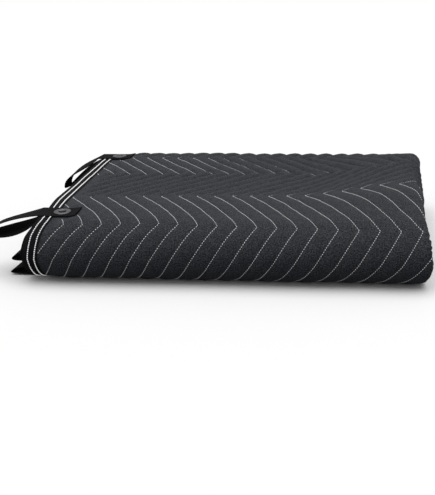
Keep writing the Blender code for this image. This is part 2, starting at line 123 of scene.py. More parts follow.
# How far the hems and the fold lie to the right of straight lines, at a share of the way along a section
EDGE_COLUMNS = ("section", "share", "hems", "fold")
EDGE_ROWS = (
    ("run_1", 0.0, -0.002, -0.004),
    ("run_1", 0.6, -0.006, 0.000),
    ("outer_nose", 0.0, -0.004, 0.002),
    ("outer_nose", 0.45, -0.008, 0.011),
    ("outer_nose", 0.70, -0.001, 0.008),
    ("outer_nose", 0.90, 0.008, 0.004),
    ("run_5", 0.05, 0.010, 0.004),
    ("run_5", 0.20, 0.004, 0.008),
    ("run_5", 0.56, -0.007, 0.009),
    ("run_5", 0.85, -0.009, 0.010),
    ("top_back", 0.5, -0.006, -0.005),
    ("run_4", 0.3, -0.001, 0.004),
    ("run_4", 0.8, 0.002, 0.006),
    ("inner_nose", 0.5, 0.006, 0.001),
    ("run_2", 0.3, 0.001, -0.003),
    ("run_2", 0.8, -0.003, 0.001),
    ("run_3", 0.2, -0.006, 0.005),
    ("run_3", 1.0, -0.002, 0.002),
)

# Sewing
STITCH = 0.0027
STITCH_STEP = 0.0040
THREAD_RADIUS = 0.00054
HEM_STITCH_STEP = 0.0034
HEM_STITCH = 0.0031
HEM_THREAD_RADIUS = 0.00095
HEM_STITCHES = (0.0088, 0.0192)
JITTER = 0.00012

# Where sewing shows: past the quilted sections, round the side fold, and round the lower bend at the back.
# Beside the hem the thread is drawn in between two rows of tips, and isn't seen.
SHOWN_PAST = 0.02
SIDE_FOLD_REACH = 0.035
LOW_BACK_PAST = 0.015
DRAWN_IN_TO = 0.048
DRAWN_IN_ROWS = (3, 6)

# Webbing loops and grommets
WEBBING = 0.0016
WEBBING_WIDTH = 0.040
GROMMET_FROM_EDGE = 0.032
GROMMET_RADIUS = 0.014
GROMMET_HOLE_RADIUS = 0.00635
GROMMET_WALL = 0.0009
GROMMET_STEPS = 64
CLOTH_HOLE_RADIUS = 0.0085
LEG_END_OUTER = 0.059
LEG_END_INNER = 0.050
LOOP_STRAIGHT = 0.006
LOOP_STEPS = 22
LOOP_COLUMNS = (
    "name", "level", "behind", "reach", "rise", "droop", "sag", "upper_twist", "lower_twist", "grommet")
LOOP_ROWS = (
    ("front", 5, 0.018, 0.094, -0.008, 0.031, 0.014, -0.002, 0.0056, True),
    ("back", 5, 0.408, 0.081, -0.019, 0.050, 0.004, 0.003, 0.006, True),
    ("inner_upper", 2, 0.022, 0.052, 0.005, 0.008, 0.005, 0.0, 0.0, False),
    ("inner_lower", 1, 0.018, 0.045, 0.000, -0.001, 0.007, 0.0, 0.0, False),
)
LOOPS = [dict(zip(LOOP_COLUMNS, row)) for row in LOOP_ROWS]

# Floor and light
FLOOR_BOUNCE_COLOUR = (0.20, 0.21, 0.22)
FLOOR_SEEN_COLOUR = (0.98, 0.98, 0.98)
SKY_LIGHT = 0.49
SKY_SEEN = 1.0
SUN_STRENGTH = 1.70
SUN_SPREAD = 70
SUN_TOWARDS = (-0.06, 0.06, -1.0)

# Camera, as fitted to the photo
FOCAL_PIXELS = 900.5
FRAME_HEIGHT_PIXELS = 495
SENSOR = 36.0
CAMERA_AZIMUTH = math.radians(10.77)
CAMERA_ELEVATION = math.radians(16.92)
CAMERA_ROLL = math.radians(-2.48)
CAMERA_PLACE = (0.2396, -1.5111, 0.4564)

CHANCE = np.random.default_rng(7)

# Radius and turn of the route's bends
BENDS = {
    "outer_nose": (2 * LEVEL_PITCH + PLY_OFFSET, -1),
    "top_back": (LEVEL_PITCH / 2 + PLY_OFFSET, -1),
    "inner_nose": (LEVEL_PITCH - PLY_OFFSET, 1),
    "low_back": (LEVEL_PITCH / 2 - PLY_OFFSET, 1),
}
RUN = (CUT_LENGTH - sum(math.pi * bend[0] for bend in BENDS.values()) - TAIL) / LEVELS
ROUTE = ("run_1", "outer_nose", "run_5", "top_back", "run_4", "inner_nose", "run_2", "low_back", "run_3")
NOSE_REACH = 2 * LEVEL_PITCH + PLY + GAP / 2
BACK_REACH = LEVEL_PITCH / 2 + PLY + GAP / 2
DEPTH = RUN + NOSE_REACH + BACK_REACH
FRONT_Y = -DEPTH / 2 + NOSE_REACH
BACK_Y = FRONT_Y + RUN
FOLD_RADIUS = PLY_OFFSET
FOLD_START = FOLD_LINE - math.pi * FOLD_RADIUS / 2
FOLD_END = FOLD_LINE + math.pi * FOLD_RADIUS / 2
PAD_WIDTH = FOLD_START + FOLD_RADIUS + PLY / 2

# From here the second ply is hidden or nearly so, and its faces are wide and even
EVEN_FROM = FOLD_END + 0.11
EVEN_FADE = 0.04


def route_sections():
    """Each section of the route: start and end along s, start point, heading, radius and turn."""
    sections = {}
    s, y, z, heading = 0.0, BACK_Y + TAIL, PLY / 2, math.pi
    for name in ROUTE:
        radius, turn = BENDS.get(name, (1.0, 0))
        length = math.pi * radius if turn else RUN + (TAIL if name == "run_1" else 0)
        sections[name] = (s, s + length, y, z, heading, radius, turn)
        if turn:
            y -= 2 * turn * radius * math.sin(heading)
            z += 2 * turn * radius * math.cos(heading)
            heading += turn * math.pi
        else:
            y += length * math.cos(heading)
            z += length * math.sin(heading)
        s += length
    return sections


SECTIONS = route_sections()
SECTION_TABLE = np.array(list(SECTIONS.values()))
TOP_START = SECTIONS["run_5"][0]
QUILT_FROM = SECTIONS["outer_nose"][0]
QUILT_TO = SECTIONS["top_back"][1]


def edge_table():
    places = []
    for row in EDGE_ROWS:
        place = dict(zip(EDGE_COLUMNS, row))
        start, end = SECTIONS[place["section"]][:2]
        places.append((start + (end - start) * place["share"], place["hems"], place["fold"]))
    return np.array(places)


EDGES = edge_table()


def smooth(value):
    value = np.clip(value, 0.0, 1.0)
    return value * value * (3 - 2 * value)


def ramp(value, low, high):
    return np.clip((value - low) / (high - low), 0.0, 1.0)


def along_route(s, n):
    """(y, z) of the points at s along the route, n to the outer side of it."""
    i = np.clip(np.searchsorted(SECTION_TABLE[:, 0], s, side="right") - 1, 0, len(SECTION_TABLE) - 1)
    start, _, y, z, heading, radius, turn = np.moveaxis(SECTION_TABLE[i], -1, 0)
    bent = turn != 0
    passed = s - start
    angle = heading + np.where(bent, turn * passed / radius, 0.0)
    centre_y = y - turn * radius * np.sin(heading)
    centre_z = z + turn * radius * np.cos(heading)
    middle_y = np.where(bent, centre_y + turn * radius * np.sin(angle), y + passed * np.cos(heading))
    middle_z = np.where(bent, centre_z - turn * radius * np.cos(angle), z + passed * np.sin(heading))
    return middle_y - n * np.sin(angle), middle_z + n * np.cos(angle)


def settled(x, y, z):
    """The stack's slump: lower in front, higher behind and higher at the hems than at the fold."""
    from_fold = 0.5 - x / PAD_WIDTH
    from_front = (y + DEPTH / 2) / DEPTH
    behind, before = smooth((from_front - 0.5) / 0.5), smooth((0.30 - from_front) / 0.28)
    height = 1 + BACK_RISE * behind - FRONT_DROP * before
    return np.stack([x, y, z * (height + HEM_SIDE_RISE * (from_fold - 0.5))], axis=-1)


def edge_shift(s, across):
    hems = np.interp(s, EDGES[:, 0], EDGES[:, 1])
    fold = np.interp(s, EDGES[:, 0], EDGES[:, 2])
    return hems + (fold - hems) * np.clip(across / FOLD_LINE, 0.0, 1.0)


def roll_height(s):
    behind = s - TOP_START
    front = smooth((behind - ROLL_FRONT) / ROLL_FRONT_LENGTH)
    return ROLL_HEIGHT * front * smooth((ROLL_BACK - behind) / ROLL_BACK_LENGTH)


def folded(u, s, w):
    """Where the flat points (u, s, w) lie in the folded stack, as an array of places."""
    u, s, w = np.broadcast_arrays(*(np.asarray(value, float) for value in (u, s, w)))
    height = roll_height(s)
    radius = FOLD_RADIUS + height / 2
    start = FOLD_LINE - math.pi * radius / 2
    end = FOLD_LINE + math.pi * radius / 2
    angle = np.clip((u - start) / radius, 0.0, math.pi)
    raised = w + height * smooth((u - ROLL_FROM) / (ROLL_FULL_AT - ROLL_FROM))
    before, after = u <= start, u >= end
    turning = start + (radius + w) * np.sin(angle)
    across = np.where(before, u, np.where(after, start - (u - end), turning))
    bent_n = height - radius + (radius + w) * np.cos(angle)
    n = np.where(before, raised, np.where(after, -2 * FOLD_RADIUS - w, bent_n))
    across = across + edge_shift(s, across)
    y, z = along_route(s, n)
    return settled(across - PAD_WIDTH / 2, y, z)


def resting(points):
    """Points kept from sinking into the floor."""
    points[..., 2] = np.maximum(points[..., 2], 0.0)
    return points


def loop_station(loop):
    start, end, _, _, heading, _, _ = SECTIONS[f"run_{loop['level']}"]
    return start + loop["behind"] if math.cos(heading) > 0 else end - loop["behind"]


def side_share(u, s):
    """0 at the side hems and 1 away from them. A strap's sewing presses the hem thin further in."""
    pressed = 0.0
    for loop in LOOPS:
        near = smooth((PRESSED_REACH - np.abs(s - loop_station(loop))) / PRESSED_FADE)
        pressed = np.maximum(pressed, near)
    thin_to = HEM_THIN_TO + (PRESSED_THIN_TO - HEM_THIN_TO) * pressed
    full_from = HEM_FULL_FROM + (PRESSED_FULL_FROM - HEM_FULL_FROM) * pressed
    return smooth(ramp(np.minimum(u, CUT_WIDTH - u), thin_to, full_from))


def full_share(u, s):
    """0 at the hems, where the cloth is pressed thin, and 1 away from them."""
    end = np.minimum(s, CUT_LENGTH - s)
    return np.minimum(side_share(u, s), smooth(ramp(end, END_THIN_TO, END_FULL_FROM)))


def hem_middle(u, s):
    share = 1 - side_share(u, s)
    return np.where(u < FOLD_LINE, HEM_SHIFT * share, -HEM_SHIFT * share)


def half_thickness(u, s):
    return HEM_HALF + (PLY / 2 - HEM_HALF) * full_share(u, s)


TIPS = dict(zip(TIP_COLUMNS, np.array(TIP_ROWS).T))
TIP_S = TOP_START + TIPS["behind"]


def line_offset(s):
    """Where one of the quilting lines lies across the cloth at s. The rows repeat past the table's ends."""
    first, last = REPEAT_ROWS
    across = TIPS["across"]
    repeat, step = TIP_S[last] - TIP_S[first], across[last] - across[first]
    turns = np.where(s < TIP_S[0], np.floor((s - TIP_S[0]) / repeat), 0.0)
    turns = np.where(s > TIP_S[-1], np.ceil((s - TIP_S[-1]) / repeat), turns)
    return np.interp(s - turns * repeat, TIP_S, across) + turns * step


def stray(u, s):
    """How far the quilting strays along the cut and across it, at a place of its even pattern."""
    rows = TOP_START + np.array([row[0] for row in STRAY_ROWS])
    place = np.clip(np.interp(s, rows, np.arange(len(rows))), 0, len(rows) - 1)
    low = np.minimum(place.astype(int), len(rows) - 2)
    share = place - low
    found = []
    for column in (1, 2):
        at = np.array([np.interp(u, STRAY_AT, row[column]) for row in STRAY_ROWS])
        a = np.take_along_axis(at, low[None], 0)[0]
        b = np.take_along_axis(at, low[None] + 1, 0)[0]
        found.append(a + (b - a) * share)
    return found


def drawn(u, s):
    """Flat coordinates of a place of the quilting's even pattern, with its straying."""
    u, s = np.broadcast_arrays(np.asarray(u, float), np.asarray(s, float))
    along, across = stray(u, s)
    return u + across, s + along


def puff(u, s):
    """0 on a quilting line and 1 halfway between two."""
    across = ((u - line_offset(s)) / QUILT_PITCH) % 1
    return 2 * np.minimum(across, 1 - across)


def waves(u, s, scale, seed):
    """Soft uneven waves between -1 and 1, from a few sines of set directions."""
    chance = np.random.default_rng(seed)
    total = np.zeros(np.broadcast(u, s).shape)
    for _ in range(7):
        direction = chance.uniform(0, math.tau)
        length = scale * chance.uniform(0.7, 1.6)
        phase = chance.uniform(0, math.tau)
        way = u * math.cos(direction) + s * math.sin(direction)
        total = total + np.sin(way * math.tau / length + phase)
    return total / 3.5


def outer_relief(u, s, pattern):
    """How far quilting and small unevenness move the outer face at a place, given its pattern place."""
    share = full_share(u, s)
    u, s = pattern
    left = np.interp(s, TIP_S, TIPS["depth_left"])
    right = np.interp(s, TIP_S, TIPS["depth_right"])
    depth = left + (right - left) * smooth((u - DEPTH_TURNS_FROM) / DEPTH_TURNS_OVER)
    depth = depth * (1 + 0.12 * waves(u, s, 0.09, 3))
    evened = ramp(u, EVEN_FROM - EVEN_FADE, EVEN_FROM)
    valley = depth * (1 - puff(u, s)) ** VALLEY_POWER * (1 - evened)
    uneven = 0.0007 * waves(u, s, 0.16, 5) + 0.0003 * waves(u, s, 0.035, 9)
    return (uneven - valley) * share


def inner_relief(u, s, pattern):
    """How far quilting moves the inner face at a place, given its pattern place."""
    return INNER_VALLEY * (1 - puff(*pattern)) ** 2 * full_share(u, s)


def cloth_face(u, s, outer=True):
    """Flat coordinates, with w, of a pattern place on the outer or the inner face of the cloth."""
    at_u, at_s = drawn(u, s)
    half = half_thickness(at_u, at_s)
    relief_out = half + outer_relief(at_u, at_s, (u, s))
    relief_in = -half + inner_relief(at_u, at_s, (u, s))
    return at_u, at_s, hem_middle(at_u, at_s) + np.where(outer, relief_out, relief_in)


def new_material(name):
    material = bpy.data.materials.new(name)
    material.use_nodes = True
    return material, material.node_tree.nodes, material.node_tree.links


def add_node(nodes, kind, **values):
    """A shader node with its properties set, and its inputs where a value's name is one of them."""
    item = nodes.new(kind)
    for key, value in values.items():
        socket = key.replace("_", " ")
        if socket in item.inputs:
            item.inputs[socket].default_value = value
        else:
            setattr(item, key, value)
    return item


def flat_coordinates(nodes, links, scale):
    """The flat place of each point, stored on the mesh, in steps of scale metres."""
    place = add_node(nodes, "ShaderNodeAttribute", attribute_name="flat")
    scaled = add_node(nodes, "ShaderNodeVectorMath", operation="MULTIPLY")
    scaled.inputs[1].default_value = tuple(1 / value for value in scale)
    links.new(place.outputs["Vector"], scaled.inputs[0])
    return scaled.outputs["Vector"]


def add_bump(nodes, links, height, strength, distance, after=None):
    bump = add_node(nodes, "ShaderNodeBump", Strength=strength, Distance=distance)
    links.new(height, bump.inputs["Height"])
    if after:
        links.new(after, bump.inputs["Normal"])
    return bump.outputs["Normal"]


def noise_value(nodes, links, vector, scale, detail=3.0, roughness=0.6):
    texture = add_node(nodes, "ShaderNodeTexNoise", Scale=scale, Detail=detail, Roughness=roughness)
    links.new(vector, texture.inputs["Vector"])
    return texture.outputs["Fac"]


def weave_height(nodes, links, vector):
    """Threads over and under each other, one to each unit of the vector."""
    waves_found = []
    for axis in ("X", "Y"):
        wave = add_node(nodes, "ShaderNodeTexWave", bands_direction=axis, Scale=0.5, Distortion=0.6)
        links.new(vector, wave.inputs["Vector"])
        waves_found.append(wave.outputs["Fac"])
    product = add_node(nodes, "ShaderNodeMath", operation="MULTIPLY")
    links.new(waves_found[0], product.inputs[0])
    links.new(waves_found[1], product.inputs[1])
    return product.outputs[0]


def mixed_colour(nodes, links, factor, low, high, start, end):
    ramp_node = add_node(nodes, "ShaderNodeValToRGB")
    ramp_node.color_ramp.elements[0].position = start
    ramp_node.color_ramp.elements[0].color = (*low, 1)
    ramp_node.color_ramp.elements[1].position = end
    ramp_node.color_ramp.elements[1].color = (*high, 1)
    links.new(factor, ramp_node.inputs["Fac"])
    return ramp_node.outputs["Color"]


def cloth_material():
    material, nodes, links = new_material("quilted_cloth_look")
    surface = nodes["Principled BSDF"]
    surface.inputs["Roughness"].default_value = 0.95
    surface.inputs["Specular IOR Level"].default_value = 0.18
    surface.inputs["Sheen Weight"].default_value = 0.06
    surface.inputs["Sheen Roughness"].default_value = 0.45
    surface.inputs["Sheen Tint"].default_value = (0.75, 0.78, 0.85, 1)
    place = flat_coordinates(nodes, links, (1, 1, 1))
    grain = noise_value(nodes, links, place, 520.0, 4.0, 0.75)
    colour = mixed_colour(nodes, links, grain, (0.010, 0.0105, 0.0125), (0.082, 0.085, 0.097), 0.42, 0.62)
    blotch = noise_value(nodes, links, place, 90.0, 4.0, 0.70)
    tone = mixed_colour(nodes, links, blotch, (0.78, 0.78, 0.79), (1.18, 1.18, 1.18), 0.34, 0.66)
    mixed = add_node(nodes, "ShaderNodeMix", data_type="RGBA", blend_type="MULTIPLY")
    mixed.inputs["Factor"].default_value = 1.0
    links.new(colour, mixed.inputs["A"])
    links.new(tone, mixed.inputs["B"])
    links.new(mixed.outputs["Result"], surface.inputs["Base Color"])
    weave = weave_height(nodes, links, flat_coordinates(nodes, links, (0.0011, 0.0011, 1)))
    normal = add_bump(nodes, links, weave, 0.35, 0.0003)
    normal = add_bump(nodes, links, grain, 0.35, 0.0006, normal)
    pucker = noise_value(nodes, links, place, 120.0, 2.0, 0.5)
    normal = add_bump(nodes, links, pucker, 0.35, 0.0012, normal)
    links.new(normal, surface.inputs["Normal"])
    return material


def tape_material():
    material, nodes, links = new_material("binding_tape_look")
    surface = nodes["Principled BSDF"]
    surface.inputs["Roughness"].default_value = 0.85
    surface.inputs["Specular IOR Level"].default_value = 0.08
    place = flat_coordinates(nodes, links, (1, 1, 1))
    grain = noise_value(nodes, links, place, 600.0, 3.0, 0.7)
    colour = mixed_colour(nodes, links, grain, (0.003, 0.003, 0.0042), (0.016, 0.016, 0.020), 0.3, 0.75)
    links.new(colour, surface.inputs["Base Color"])
    weave = weave_height(nodes, links, flat_coordinates(nodes, links, (0.0016, 0.0009, 1)))
    normal = add_bump(nodes, links, weave, 0.5, 0.0003)
    pucker = noise_value(nodes, links, place, 160.0, 2.0, 0.5)
    normal = add_bump(nodes, links, pucker, 0.4, 0.0008, normal)
    links.new(normal, surface.inputs["Normal"])
    return material


def webbing_material():
    material, nodes, links = new_material("webbing_look")
    surface = nodes["Principled BSDF"]
    surface.inputs["Roughness"].default_value = 0.8
    surface.inputs["Specular IOR Level"].default_value = 0.05
    place = flat_coordinates(nodes, links, (1, 1, 1))
    grain = noise_value(nodes, links, place, 700.0, 3.0, 0.7)
    colour = mixed_colour(nodes, links, grain, (0.003, 0.003, 0.004), (0.018, 0.018, 0.020), 0.3, 0.75)
    links.new(colour, surface.inputs["Base Color"])
    ribs = weave_height(nodes, links, flat_coordinates(nodes, links, (0.0026, 0.0013, 1)))
    normal = add_bump(nodes, links, ribs, 0.8, 0.0006)
    links.new(normal, surface.inputs["Normal"])
    return material


def thread_material(name, colour, painted_glow):
    material, nodes, links = new_material(name)
    surface = nodes["Principled BSDF"]
    surface.inputs["Roughness"].default_value = 0.55
    # Painted light: the emission makes the thread glow, so it shows brighter than the lamps alone would make
    # it
    surface.inputs["Emission Color"].default_value = (*colour, 1)
    surface.inputs["Emission Strength"].default_value = painted_glow
    place = add_node(nodes, "ShaderNodeTexCoord")
    grain = noise_value(nodes, links, place.outputs["Object"], 900.0, 2.0, 0.6)
    darker = tuple(0.72 * value for value in colour)
    links.new(mixed_colour(nodes, links, grain, darker, colour, 0.3, 0.65), surface.inputs["Base Color"])
    return material


def metal_material():
    material, nodes, links = new_material("grommet_look")
    surface = nodes["Principled BSDF"]
    surface.inputs["Metallic"].default_value = 1.0
    surface.inputs["Base Color"].default_value = (0.17, 0.17, 0.18, 1)
    place = add_node(nodes, "ShaderNodeTexCoord")
    scratches = noise_value(nodes, links, place.outputs["Object"], 260.0, 5.0, 0.7)
    rough = add_node(nodes, "ShaderNodeMapRange", To_Min=0.20, To_Max=0.42)
    links.new(scratches, rough.inputs["Value"])
    links.new(rough.outputs["Result"], surface.inputs["Roughness"])
    links.new(add_bump(nodes, links, scratches, 0.12, 0.0002), surface.inputs["Normal"])
    return material


def finish_piece(name, mesh, material, replaced, flat=None):
    """Makes the object of a piece, with its material and its place in the stack."""
    if flat is not None:
        stored = mesh.attributes.new("flat", "FLOAT_VECTOR", "POINT")
        stored.data.foreach_set("vector", np.ascontiguousarray(flat, np.float32).ravel())
    mesh.materials.append(material)
    mesh.shade_smooth()
    mesh.update()
    item = bpy.data.objects.new(name, mesh)
    bpy.context.scene.collection.objects.link(item)
    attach(item, "root")
    if replaced:
        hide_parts(*replaced)
    return item


def mesh_from(name, points, faces):
    mesh = bpy.data.meshes.new(name)
    mesh.from_pydata(np.asarray(points).tolist(), [], faces)
    return mesh


def tube_faces(rows, ring):
    """Faces of a closed sweep of so many rows and points to a ring, with its two caps."""
    faces = []
    for i in range(rows - 1):
        for j in range(ring):
            k = (j + 1) % ring
            a, b = i * ring, (i + 1) * ring
            faces.append((a + j, a + k, b + k, b + j))
    faces.append(tuple(reversed(range(ring))))
    faces.append(tuple((rows - 1) * ring + j for j in range(ring)))
    return faces


def facing_out(mesh):
    bm = bmesh.new()
    bm.from_mesh(mesh)
    bmesh.ops.recalc_face_normals(bm, faces=bm.faces[:])
    if bm.calc_volume(signed=True) < 0:
        bmesh.ops.reverse_faces(bm, faces=bm.faces[:])
    bm.to_mesh(mesh)
    bm.free()


def spread(low, high, step):
    """Even positions from low to high, about a step apart, both ends included."""
    return list(np.linspace(low, high, max(2, round((high - low) / step) + 1)))


def cloth_rows():
    """Positions along the cut: close where the cloth shows, wider in the hidden levels, and on every tip."""
    rows = [TAPE_CLEAR, CUT_LENGTH - TAPE_CLEAR]
    for name, (start, end, *_, radius, turn) in SECTIONS.items():
        shown = name in ("outer_nose", "run_5", "top_back")
        if turn:
            rows += spread(start, end, 0.0045 if shown else math.pi * radius / 8)
        else:
            rows += spread(start, end, 0.0060 if shown else 0.020)
    tips = [s for s in TIP_S if QUILT_FROM < s < QUILT_TO]
    rows = [s for s in rows if all(abs(s - tip) > 0.0025 for tip in tips)]
    rows = sorted(s for s in rows + tips if TAPE_CLEAR <= s <= CUT_LENGTH - TAPE_CLEAR)
    return [s for i, s in enumerate(rows) if i == 0 or s - rows[i - 1] > 0.0015]


def cloth_columns():
    """Positions across the cut before the zigzag moves them: close in the upper ply, wide in the lower."""
    reach = max(TIPS["across"]) + 0.02
    first = math.floor(-reach / QUILT_PITCH)
    fine_to = math.ceil((EVEN_FROM + EVEN_FADE) / QUILT_PITCH)
    last = math.ceil((CUT_WIDTH + 0.2) / QUILT_PITCH)
    columns = []
    for k in range(first, last):
        shares = PUFF_SHARES if k < fine_to else (0.0, 0.5)
        columns += [(k + share) * QUILT_PITCH for share in shares]
    return columns


def make_cloth(material):
    """The quilted cloth: its columns follow the quilting lines, so that every seam lies on an edge."""
    rows, columns = cloth_rows(), cloth_columns()
    moved = line_offset(np.clip(rows, QUILT_FROM - SHOWN_PAST, QUILT_TO + SHOWN_PAST))
    bm = bmesh.new()
    bmesh.ops.create_grid(bm, x_segments=len(columns) - 1, y_segments=len(rows) - 1, size=0.5)
    for vertex in bm.verts:
        column = round((vertex.co.x + 0.5) * (len(columns) - 1))
        row = round((vertex.co.y + 0.5) * (len(rows) - 1))
        vertex.co = (columns[column] + moved[row], rows[row], 0.0)
    for place, below in ((TAPE_CLEAR, True), (CUT_WIDTH - TAPE_CLEAR, False)):
        geometry = bm.verts[:] + bm.edges[:] + bm.faces[:]
        bmesh.ops.bisect_plane(
            bm, geom=geometry, dist=1e-5, plane_co=(place, 0, 0), plane_no=(1, 0, 0),
            clear_inner=below, clear_outer=not below)
    made = bmesh.ops.extrude_face_region(bm, geom=bm.faces[:])
    for item in made["geom"]:
        if isinstance(item, bmesh.types.BMVert):
            item.co.z = 1.0
    mesh = bpy.data.meshes.new("cloth")
    bm.to_mesh(mesh)
    bm.free()
    flat = np.empty(len(mesh.vertices) * 3, np.float32)
    mesh.vertices.foreach_get("co", flat)
    flat = flat.reshape(-1, 3).astype(float)
    u, s, w = cloth_face(flat[:, 0], flat[:, 1], flat[:, 2] > 0.5)
    flat = np.stack([u, s, flat[:, 2]], axis=-1)
    mesh.vertices.foreach_set("co", resting(folded(u, s, w)).astype(np.float32).ravel())
    facing_out(mesh)
    drop_faces_at_holes(mesh, flat)
    return finish_piece("cloth", mesh, material, ["blanket"], flat)


def drop_faces_at_holes(mesh, flat):
    """Opens the cloth under each grommet, whose tube and rims close it off."""
    holes = [(GROMMET_FROM_EDGE, loop_station(loop)) for loop in LOOPS if loop["grommet"]]
    bm = bmesh.new()
    bm.from_mesh(mesh)
    bm.verts.ensure_lookup_table()
    gone = []
    for face in bm.faces:
        middle = flat[[vertex.index for vertex in face.verts]].mean(axis=0)
        if any(math.hypot(middle[0] - u, middle[1] - s) < CLOTH_HOLE_RADIUS for u, s in holes):
            gone.append(face)
    bmesh.ops.delete(bm, geom=gone, context="FACES_ONLY")
    bm.to_mesh(mesh)
    bm.free()


def stitch_rings(starts, ends, face, radius):
    """Points of small plump stitches on a face, 5 rings of 5 points each: (stitches, 5, 5, 3)."""
    along = np.array([0.0, 0.16, 0.5, 0.84, 1.0])
    fat = np.array([0.10, 0.82, 1.0, 0.82, 0.10])
    sunk = np.array([-0.5, 0.25, 0.5, 0.25, -0.5])
    flat = starts[:, None, :] + (ends - starts)[:, None, :] * along[None, :, None]
    u, s = flat[..., 0], flat[..., 1]
    u, s, w = face(u, s)
    w = w + radius * sunk[None, :]
    middle = folded(u, s, w)
    outward = folded(u, s, w + 1e-4) - middle
    outward /= np.linalg.norm(outward, axis=-1, keepdims=True)
    forward = middle[:, -1] - middle[:, 0]
    forward /= np.maximum(np.linalg.norm(forward, axis=-1, keepdims=True), 1e-9)
    aside = np.cross(forward[:, None, :], outward)
    aside /= np.maximum(np.linalg.norm(aside, axis=-1, keepdims=True), 1e-9)
    angles = np.arange(5) * math.tau / 5
    ring = np.cos(angles)[None, None, :, None] * aside[:, :, None, :]
    ring = ring + np.sin(angles)[None, None, :, None] * outward[:, :, None, :]
    return middle[:, :, None, :] + ring * (radius * fat)[None, :, None, None]


def make_stitches(name, starts, ends, face, radius, material, slot):
    rings = stitch_rings(np.array(starts), np.array(ends), face, radius)
    count = len(rings)
    one = tube_faces(5, 5)
    faces = [tuple(25 * i + j for j in corner) for i in range(count) for corner in one]
    mesh = mesh_from(name, resting(rings).reshape(-1, 3), faces)
    return finish_piece(name, mesh, material, [])


def under_strap(u, s):
    across = any(abs(s - loop_station(loop)) < WEBBING_WIDTH / 2 for loop in LOOPS)
    return across and u < LEG_END_OUTER + 0.002


def on_top(u, s):
    """Whether a place is on the outer faces that show, and its thread isn't drawn in beside the hem."""
    first, last = DRAWN_IN_ROWS
    drawn_in = u < DRAWN_IN_TO and TIP_S[first] + 0.003 < s < TIP_S[last] - 0.003
    along = QUILT_FROM - SHOWN_PAST < s < QUILT_TO + SHOWN_PAST
    return not drawn_in and along and HEM_STITCHES[1] + 0.004 < u < FOLD_END + 0.03


def at_folds(u, s):
    """Whether a place is at the side fold of one of the lower levels."""
    return abs(u - FOLD_LINE) < SIDE_FOLD_REACH and 0.03 < s < CUT_LENGTH - 0.03 and not on_top(u, s)


def at_low_back(u, s):
    """Whether a place is on the lower bend at the back, where the second ply shows."""
    start, end = SECTIONS["low_back"][:2]
    along = start - LOW_BACK_PAST < s < end + LOW_BACK_PAST
    return along and EVEN_FROM < u < CUT_WIDTH - HEM_STITCHES[1] - 0.006


def quilting_stitches(shown):
    """Start and end, in flat coordinates, of each stitch of the zigzag lines where it is shown."""
    reach = np.arange(0.0, CUT_LENGTH, 0.001)
    line = line_offset(reach)
    travelled = np.concatenate([[0.0], np.cumsum(np.hypot(np.diff(reach), np.diff(line)))])
    places = np.arange(STITCH_STEP, travelled[-1] - STITCH_STEP, STITCH_STEP)
    low, high = places - STITCH / 2, places + STITCH / 2
    starts, ends = [], []
    for k in range(-40, 80):
        for a, b in zip(low, high):
            s = np.interp([a, b], travelled, reach)
            u = line_offset(s) + k * QUILT_PITCH
            if shown(u.mean(), s.mean()) and not under_strap(u.mean(), s.mean()):
                jitter = CHANCE.normal(0, JITTER, 2)
                starts.append(np.array([u[0], s[0]]) + jitter)
                ends.append(np.array([u[1], s[1]]) - jitter)
    return starts, ends


def hem_stitches(from_far_side):
    starts, ends = [], []
    for inset in HEM_STITCHES:
        u = CUT_WIDTH - inset if from_far_side else inset
        for s in np.arange(0.006, CUT_LENGTH - 0.008, HEM_STITCH_STEP):
            if under_strap(inset, s):
                continue
            drift = 0.0003 * math.sin(s * 40 + inset * 900)
            starts.append(np.array([u + drift, s]))
            ends.append(np.array([u + drift, s + HEM_STITCH]))
    return starts, ends


def tape_pucker(u, s):
    return 0.00018 * np.sin(s * math.tau / 0.0068) + 0.00015 * waves(u, s, 0.02, 21)


def tape_face(u, s):
    """Flat coordinates, with w, of a place on the tape's outer side, with its puckers."""
    return u, s, hem_middle(u, s) + HEM_HALF + CLEAR + TAPE + tape_pucker(u, s)


def tape_section():
    """The folded tape's outline: (distance from the edge, place through the cloth), rounded at the edge."""
    inner = HEM_HALF + CLEAR
    outer = inner + TAPE
    round_edge = []
    for i in range(1, 8):
        angle = math.pi / 2 + math.pi * i / 8
        round_edge.append((0.0016 + 0.0016 * math.cos(angle), outer * math.sin(angle)))
    upper = [(TAPE_WIDTH * share, outer) for share in (1.0, 0.98, 0.7, 0.4, 0.2)]
    lower = [(TAPE_WIDTH * share, -outer) for share in (0.2, 0.7, 0.98, 1.0)]
    inside = [(TAPE_WIDTH, -inner), (0.0018, -inner * 0.9), (0.0018, inner * 0.9), (TAPE_WIDTH, inner)]
    return upper + [(0.0016, outer)] + round_edge + [(0.0016, -outer)] + lower + inside


def make_side_tape(name, material, node, from_far_side):
    section = np.array(tape_section())
    rows = []
    for part, (start, end, *_, radius, turn) in SECTIONS.items():
        step = 0.0034 if part in ("outer_nose", "run_5", "top_back") else 0.012
        rows += spread(start, end, min(step, math.pi * radius / 12) if turn else step)[:-1]
    rows = [max(0.0, s) for s in rows] + [CUT_LENGTH]
    edge, place = section.T
    s = np.repeat(np.array(rows)[:, None], len(section), axis=1)
    wander = 0.0005 * waves(0.0 * s, s, 0.045, 31)
    edge = np.broadcast_to(edge[None, :], s.shape) + wander * (edge[None, :] > 0.003)
    pucker = tape_pucker(edge, s)
    u = CUT_WIDTH - edge if from_far_side else edge
    on_outside = np.abs(place[None, :]) > HEM_HALF + CLEAR + 0.5 * TAPE
    w = place[None, :] + hem_middle(u, s) + pucker * on_outside
    points = folded(u, s, w)
    mesh = mesh_from(name, points.reshape(-1, 3), tube_faces(*s.shape))
    facing_out(mesh)
    flat = np.stack([u, s, 0 * s], axis=-1).reshape(-1, 3)
    return finish_piece(name, mesh, material, [node], flat)


